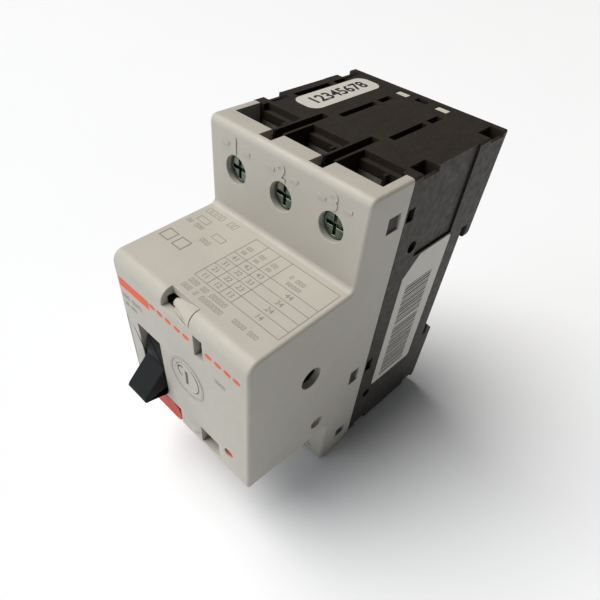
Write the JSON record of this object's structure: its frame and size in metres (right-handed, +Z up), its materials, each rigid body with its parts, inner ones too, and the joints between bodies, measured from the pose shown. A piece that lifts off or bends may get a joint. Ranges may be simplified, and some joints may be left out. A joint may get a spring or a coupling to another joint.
{
  "type": "motor protection breaker",
  "caption": "Rail-mounted three-pole motor protection breaker with toggle, current dial, test button, padlock slide and screw terminals.",
  "frame": {"origin": "middle of the rail seat, on the plane where the rail's front face rests", "axes": "+X across the poles to the operator's right, +Y from the operator to the rail, +Z up towards the line terminals"},
  "size_m": [0.0451, 0.0832, 0.0872],
  "materials": {
    "cover_plastic": "fine moulded light grey",
    "housing_plastic": "fine moulded near-black",
    "inner_plastic": "moulded dark grey",
    "light_plastic": "moulded off-white",
    "label_paper": "coated paper",
    "label_grey": "satin film",
    "toggle_plastic": "fine moulded black",
    "red_plastic": "moulded signal red",
    "dial_plastic": "moulded light grey",
    "indicator_plastic": "moulded dark",
    "zinc_steel": "zinc plated",
    "screw_zinc": "zinc plated, passivated",
    "spring_steel": "drawn wire",
    "copper": "tinned copper",
    "copper_wire": "enamelled",
    "bimetal": "rolled"
  },
  "bodies": {
    "case": {"front_cover": "cover_plastic", "rear_housing": "housing_plastic", "mechanism_plate": "inner_plastic", "rail_springs": "spring_steel", "rear_clips": "light_plastic", "top_label": "label_paper", "side_label": "label_paper", "front_label": "label_grey", "toggle_pin": "zinc_steel", "latch_pin": "zinc_steel", "test_spring": "spring_steel", "line_terminal_1": "copper", "load_terminal_1": "copper", "lower_contact_1": "copper", "arc_chute_1": "zinc_steel", "trip_coil_1": "copper_wire", "plunger_spring_1": "spring_steel", "line_terminal_2": "copper", "load_terminal_2": "copper", "lower_contact_2": "copper", "arc_chute_2": "zinc_steel", "trip_coil_2": "copper_wire", "plunger_spring_2": "spring_steel", "line_terminal_3": "copper", "load_terminal_3": "copper", "lower_contact_3": "copper", "arc_chute_3": "zinc_steel", "trip_coil_3": "copper_wire", "plunger_spring_3": "spring_steel"},
    "toggle": {"toggle_lever": "toggle_plastic"},
    "carrier": {"contact_carrier": "inner_plastic", "contact_springs": "spring_steel", "moving_contact_1": "copper", "moving_contact_2": "copper", "moving_contact_3": "copper"},
    "padlock": {"padlock_slide": "red_plastic"},
    "dial": {"setting_dial": "dial_plastic"},
    "button": {"test_button": "red_plastic"},
    "trip": {"trip_bar": "light_plastic"},
    "latch": {"latch_lever": "zinc_steel", "trip_indicator": "indicator_plastic"},
    "bimetal_1": {"bimetal_1": "bimetal"},
    "plunger_1": {"trip_plunger_1": "zinc_steel"},
    "bimetal_2": {"bimetal_2": "bimetal"},
    "plunger_2": {"trip_plunger_2": "zinc_steel"},
    "bimetal_3": {"bimetal_3": "bimetal"},
    "plunger_3": {"trip_plunger_3": "zinc_steel"},
    "line_clamp_1": {"line_clamp_1": "zinc_steel"},
    "line_screw_1": {"line_screw_1": "screw_zinc"},
    "load_clamp_1": {"load_clamp_1": "zinc_steel"},
    "load_screw_1": {"load_screw_1": "screw_zinc"},
    "line_clamp_2": {"line_clamp_2": "zinc_steel"},
    "line_screw_2": {"line_screw_2": "screw_zinc"},
    "load_clamp_2": {"load_clamp_2": "zinc_steel"},
    "load_screw_2": {"load_screw_2": "screw_zinc"},
    "line_clamp_3": {"line_clamp_3": "zinc_steel"},
    "line_screw_3": {"line_screw_3": "screw_zinc"},
    "load_clamp_3": {"load_clamp_3": "zinc_steel"},
    "load_screw_3": {"load_screw_3": "screw_zinc"}
  },
  "joints": [
    {"name": "toggle_hinge", "type": "hinge", "parent": "case", "child": "toggle", "pos_m": [-0.0126, -0.0632, -0.0054], "axis": [-1, 0, 0], "range_deg": [0, 50.1]},
    {"name": "carrier_slide", "type": "slide", "parent": "case", "child": "carrier", "axis": [0, 1, 0], "range_m": [0, 0.00395]},
    {"name": "padlock_pull", "type": "slide", "parent": "case", "child": "padlock", "axis": [0, -1, 0], "range_m": [0, 0.008]},
    {"name": "dial_turn", "type": "hinge", "parent": "case", "child": "dial", "pos_m": [0.0017, -0.06, 0.0002], "axis": [0, -1, 0], "range_deg": [-130, 130]},
    {"name": "test_press", "type": "slide", "parent": "case", "child": "button", "axis": [0, 1, 0], "range_m": [0, 0.0015], "stiffness_N_per_m": 60, "springref_m": -0.001, "deforming": ["test_spring"]},
    {"name": "trip_slide", "type": "slide", "parent": "case", "child": "trip", "axis": [1, 0, 0], "range_m": [0, 0.0012], "stiffness_N_per_m": 60, "springref_m": -0.001},
    {"name": "latch_hinge", "type": "hinge", "parent": "case", "child": "latch", "pos_m": [0.012, -0.0439, -0.003], "axis": [0, -1, 0], "range_deg": [0, 5.4]},
    {"name": "bimetal_bend_1", "type": "hinge", "parent": "case", "child": "bimetal_1", "pos_m": [-0.01, -0.0247, -0.03615], "axis": [0, 1, 0], "range_deg": [0, 3.2]},
    {"name": "plunger_pull_1", "type": "slide", "parent": "case", "child": "plunger_1", "axis": [0, 1, 0], "range_m": [0, 0.0025], "stiffness_N_per_m": 80, "springref_m": -0.001, "deforming": ["plunger_spring_1"]},
    {"name": "bimetal_bend_2", "type": "hinge", "parent": "case", "child": "bimetal_2", "pos_m": [0.004, -0.0247, -0.03615], "axis": [0, 1, 0], "range_deg": [0, 3.2]},
    {"name": "plunger_pull_2", "type": "slide", "parent": "case", "child": "plunger_2", "axis": [0, 1, 0], "range_m": [0, 0.0025], "stiffness_N_per_m": 80, "springref_m": -0.001, "deforming": ["plunger_spring_2"]},
    {"name": "bimetal_bend_3", "type": "hinge", "parent": "case", "child": "bimetal_3", "pos_m": [0.018, -0.0247, -0.03615], "axis": [0, 1, 0], "range_deg": [0, 3.2]},
    {"name": "plunger_pull_3", "type": "slide", "parent": "case", "child": "plunger_3", "axis": [0, 1, 0], "range_m": [0, 0.0025], "stiffness_N_per_m": 80, "springref_m": -0.001, "deforming": ["plunger_spring_3"]},
    {"name": "line_screw_turn_1", "type": "hinge", "parent": "line_clamp_1", "child": "line_screw_1", "pos_m": [-0.014, -0.04, 0.0343], "axis": [0, 1, 0], "range_deg": [0, 1261]},
    {"name": "line_clamp_close_1", "type": "slide", "parent": "case", "child": "line_clamp_1", "axis": [0, 1, 0], "range_m": [0, 0.00245]},
    {"name": "load_screw_turn_1", "type": "hinge", "parent": "load_clamp_1", "child": "load_screw_1", "pos_m": [-0.014, -0.04, -0.034], "axis": [0, 1, 0], "range_deg": [0, 1261]},
    {"name": "load_clamp_close_1", "type": "slide", "parent": "case", "child": "load_clamp_1", "axis": [0, 1, 0], "range_m": [0, 0.00245]},
    {"name": "line_screw_turn_2", "type": "hinge", "parent": "line_clamp_2", "child": "line_screw_2", "pos_m": [0, -0.04, 0.0343], "axis": [0, 1, 0], "range_deg": [0, 1261]},
    {"name": "line_clamp_close_2", "type": "slide", "parent": "case", "child": "line_clamp_2", "axis": [0, 1, 0], "range_m": [0, 0.00245]},
    {"name": "load_screw_turn_2", "type": "hinge", "parent": "load_clamp_2", "child": "load_screw_2", "pos_m": [0, -0.04, -0.034], "axis": [0, 1, 0], "range_deg": [0, 1261]},
    {"name": "load_clamp_close_2", "type": "slide", "parent": "case", "child": "load_clamp_2", "axis": [0, 1, 0], "range_m": [0, 0.00245]},
    {"name": "line_screw_turn_3", "type": "hinge", "parent": "line_clamp_3", "child": "line_screw_3", "pos_m": [0.014, -0.04, 0.0343], "axis": [0, 1, 0], "range_deg": [0, 1261]},
    {"name": "line_clamp_close_3", "type": "slide", "parent": "case", "child": "line_clamp_3", "axis": [0, 1, 0], "range_m": [0, 0.00245]},
    {"name": "load_screw_turn_3", "type": "hinge", "parent": "load_clamp_3", "child": "load_screw_3", "pos_m": [0.014, -0.04, -0.034], "axis": [0, 1, 0], "range_deg": [0, 1261]},
    {"name": "load_clamp_close_3", "type": "slide", "parent": "case", "child": "load_clamp_3", "axis": [0, 1, 0], "range_m": [0, 0.00245]}
  ],
  "couplings": [
    {"joint": "toggle_hinge", "follows": "carrier_slide", "rad_per_m": 220.93},
    {"joint": "latch_hinge", "follows": "trip_slide", "rad_per_m": 76.923},
    {"joint": "bimetal_bend_1", "follows": "trip_slide", "rad_per_m": 45.767},
    {"joint": "bimetal_bend_2", "follows": "trip_slide", "rad_per_m": 45.767},
    {"joint": "bimetal_bend_3", "follows": "trip_slide", "rad_per_m": 45.767},
    {"joint": "line_screw_turn_1", "follows": "line_clamp_close_1", "rad_per_m": 8976},
    {"joint": "load_screw_turn_1", "follows": "load_clamp_close_1", "rad_per_m": 8976},
    {"joint": "line_screw_turn_2", "follows": "line_clamp_close_2", "rad_per_m": 8976},
    {"joint": "load_screw_turn_2", "follows": "load_clamp_close_2", "rad_per_m": 8976},
    {"joint": "line_screw_turn_3", "follows": "line_clamp_close_3", "rad_per_m": 8976},
    {"joint": "load_screw_turn_3", "follows": "load_clamp_close_3", "rad_per_m": 8976}
  ]
}
